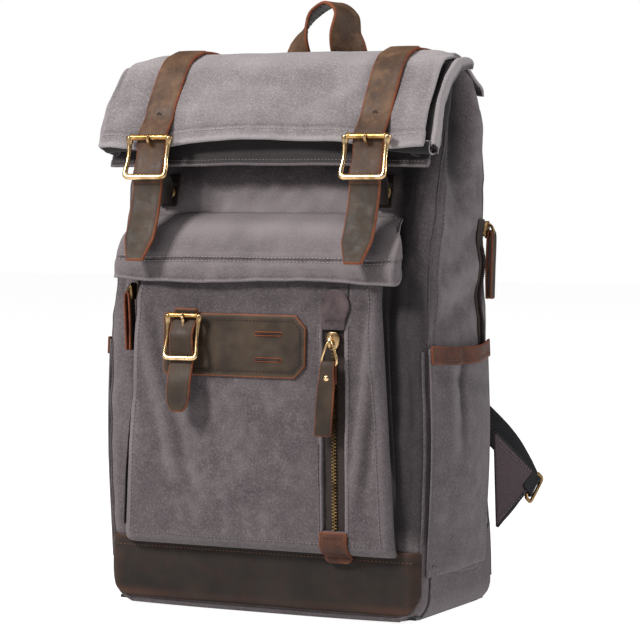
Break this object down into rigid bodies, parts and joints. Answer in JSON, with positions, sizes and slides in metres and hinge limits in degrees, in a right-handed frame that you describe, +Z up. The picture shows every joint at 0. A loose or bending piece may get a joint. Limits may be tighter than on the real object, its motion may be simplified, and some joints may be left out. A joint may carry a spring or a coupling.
{
  "type": "travel backpack",
  "caption": "Roll-top canvas travel backpack with leather straps and buckles, a zipped front pocket, side pockets, carry handle and padded shoulder straps.",
  "frame": {"origin": "on the floor plane under the middle of the base", "axes": "+Z up, the front of the bag faces -Y, +X to the viewer's right"},
  "size_m": [0.3142, 0.2369, 0.4766],
  "materials": {
    "canvas": "matte woven canvas",
    "lining": "matte woven lining",
    "padding": "padded fabric",
    "webbing": "woven webbing",
    "leather_brown": "oiled, satin",
    "leather_dark": "oiled, satin",
    "suede": "suede",
    "brass": "polished, slightly aged",
    "antique_brass": "antique",
    "zip_tape": "woven tape",
    "board": "stiff board"
  },
  "bodies": {
    "bag": {"front_panel": "canvas", "back_panel": "canvas", "side_panel_right": "canvas", "side_panel_left": "canvas", "base_panel": "canvas", "base_board": "board", "leather_base_band": "leather_dark", "edge_piping": "canvas", "laptop_divider": "lining", "main_lining": "lining", "strap_roots": "leather_brown", "anchor_tabs": "leather_brown", "snap_sockets": "antique_brass", "pocket_front": "canvas", "pocket_gusset": "canvas", "zip_tapes": "zip_tape", "zip_teeth": "antique_brass", "front_zip_patches": "suede", "leather_patch": "leather_brown", "patch_strap": "leather_brown", "side_pocket_right": "canvas", "side_pocket_left": "canvas", "side_pocket_bands": "leather_brown", "strap_yoke": "leather_dark", "strap_wings": "suede"},
    "lid": {"lid_panel": "canvas", "lid_straps": "leather_brown"},
    "flap": {"roll_flap": "canvas"},
    "collar": {"front_collar": "canvas", "collar_facing": "lining"},
    "pocket_lid": {"pocket_flap": "canvas"},
    "front_slider": {"front_zip_slider": "brass"},
    "front_pull": {"front_zip_bail": "brass", "front_zip_tab": "leather_brown", "front_zip_rivet": "brass"},
    "side_slider": {"pocket_zip_slider": "antique_brass"},
    "side_pull": {"pocket_zip_pull": "leather_brown"},
    "back_slider": {"back_zip_slider": "antique_brass"},
    "back_pull": {"back_zip_pull": "leather_brown"},
    "small_buckle": {"patch_buckle": "brass"},
    "small_prong": {"patch_prong": "brass"},
    "handle": {"carry_handle": "leather_brown"},
    "strap_left": {"flap_strap_left": "leather_brown", "chape_left": "leather_brown", "snap_stud_left": "antique_brass"},
    "tail_left": {"strap_tail_left": "leather_brown"},
    "buckle_left": {"buckle_frame_left": "brass"},
    "prong_left": {"buckle_prong_left": "brass"},
    "shoulder_left": {"shoulder_strap_left": "padding", "strap_webbing_left": "webbing", "strap_ring_left": "antique_brass"},
    "strap_right": {"flap_strap_right": "leather_brown", "chape_right": "leather_brown", "snap_stud_right": "antique_brass"},
    "tail_right": {"strap_tail_right": "leather_brown"},
    "buckle_right": {"buckle_frame_right": "brass"},
    "prong_right": {"buckle_prong_right": "brass"},
    "shoulder_right": {"shoulder_strap_right": "padding", "strap_webbing_right": "webbing", "strap_ring_right": "antique_brass"}
  },
  "joints": [
    {"name": "lid_open", "type": "hinge", "parent": "bag", "child": "lid", "pos_m": [0, 0.038, 0.431], "axis": [-1, 0, 0], "range_deg": [0, 70]},
    {"name": "flap_unroll", "type": "hinge", "parent": "lid", "child": "flap", "pos_m": [0, -0.016, 0.44], "axis": [-1, 0, 0], "range_deg": [0, 50]},
    {"name": "collar_unroll", "type": "hinge", "parent": "bag", "child": "collar", "pos_m": [0, -0.028, 0.419], "axis": [-1, 0, 0], "range_deg": [0, 50]},
    {"name": "pocket_flap_open", "type": "hinge", "parent": "bag", "child": "pocket_lid", "pos_m": [0, -0.055, 0.313], "axis": [-1, 0, 0], "range_deg": [0, 60]},
    {"name": "strap_lift_left", "type": "hinge", "parent": "flap", "child": "strap_left", "pos_m": [-0.095, -0.016, 0.44], "axis": [-1, 0, 0], "range_deg": [0, 60]},
    {"name": "tail_bend_left", "type": "hinge", "parent": "strap_left", "child": "tail_left", "pos_m": [-0.095, -0.085, 0.334], "axis": [-1, 0, 0], "range_deg": [0, 68]},
    {"name": "buckle_tilt_left", "type": "hinge", "parent": "strap_left", "child": "buckle_left", "pos_m": [-0.095, -0.073, 0.358], "axis": [-1, 0, 0], "range_deg": [-1, 1]},
    {"name": "prong_lift_left", "type": "hinge", "parent": "buckle_left", "child": "prong_left", "pos_m": [-0.095, -0.073, 0.358], "axis": [1, 0, 0], "range_deg": [0, 4]},
    {"name": "strap_lift_right", "type": "hinge", "parent": "flap", "child": "strap_right", "pos_m": [0.095, -0.016, 0.44], "axis": [-1, 0, 0], "range_deg": [0, 60]},
    {"name": "tail_bend_right", "type": "hinge", "parent": "strap_right", "child": "tail_right", "pos_m": [0.095, -0.085, 0.334], "axis": [-1, 0, 0], "range_deg": [0, 68]},
    {"name": "buckle_tilt_right", "type": "hinge", "parent": "strap_right", "child": "buckle_right", "pos_m": [0.095, -0.073, 0.358], "axis": [-1, 0, 0], "range_deg": [-1, 1]},
    {"name": "prong_lift_right", "type": "hinge", "parent": "buckle_right", "child": "prong_right", "pos_m": [0.095, -0.073, 0.358], "axis": [1, 0, 0], "range_deg": [0, 4]},
    {"name": "front_zip_run", "type": "slide", "parent": "bag", "child": "front_slider", "axis": [0, 0, -1], "range_m": [0, 0.135]},
    {"name": "front_pull_swing", "type": "hinge", "parent": "front_slider", "child": "front_pull", "pos_m": [0.071, -0.0949, 0.215], "axis": [-1, 0, 0], "range_deg": [0, 90]},
    {"name": "side_zip_run", "type": "slide", "parent": "bag", "child": "side_slider", "axis": [-0.0593, 0, -0.9982], "range_m": [0, 0.17]},
    {"name": "side_pull_swing", "type": "hinge", "parent": "side_slider", "child": "side_pull", "pos_m": [-0.11487, -0.08, 0.249], "axis": [0, 1, 0], "range_deg": [0, 100]},
    {"name": "back_zip_run", "type": "slide", "parent": "bag", "child": "back_slider", "axis": [0, 0.0654, -0.9979], "range_m": [0, 0.19]},
    {"name": "back_pull_swing", "type": "hinge", "parent": "back_slider", "child": "back_pull", "pos_m": [0.1444, 0.0435, 0.298], "axis": [0, -1, 0], "range_deg": [0, 100]},
    {"name": "small_buckle_tilt", "type": "hinge", "parent": "bag", "child": "small_buckle", "pos_m": [-0.056, -0.0961, 0.217], "axis": [-1, 0, 0], "range_deg": [-1, 1]},
    {"name": "small_prong_lift", "type": "hinge", "parent": "small_buckle", "child": "small_prong", "pos_m": [-0.056, -0.0961, 0.217], "axis": [1, 0, 0], "range_deg": [0, 4]},
    {"name": "handle_fold", "type": "hinge", "parent": "bag", "child": "handle", "pos_m": [0, 0.0466, 0.421], "axis": [-1, 0, 0], "range_deg": [0, 75]},
    {"name": "shoulder_swing_left", "type": "hinge", "parent": "bag", "child": "shoulder_left", "pos_m": [-0.045, 0.05851, 0.3768], "axis": [-0.3466, 0.1742, -0.9217], "range_deg": [-12, 12]},
    {"name": "shoulder_swing_right", "type": "hinge", "parent": "bag", "child": "shoulder_right", "pos_m": [0.045, 0.05851, 0.3768], "axis": [0.3466, 0.1742, -0.9217], "range_deg": [-12, 12]}
  ],
  "couplings": [
    {"joint": "collar_unroll", "follows": "flap_unroll", "ratio": 1},
    {"joint": "tail_bend_left", "follows": "pocket_flap_open", "ratio": 1.1},
    {"joint": "tail_bend_right", "follows": "pocket_flap_open", "ratio": 1.1},
    {"joint": "handle_fold", "follows": "lid_open", "ratio": 1}
  ]
}
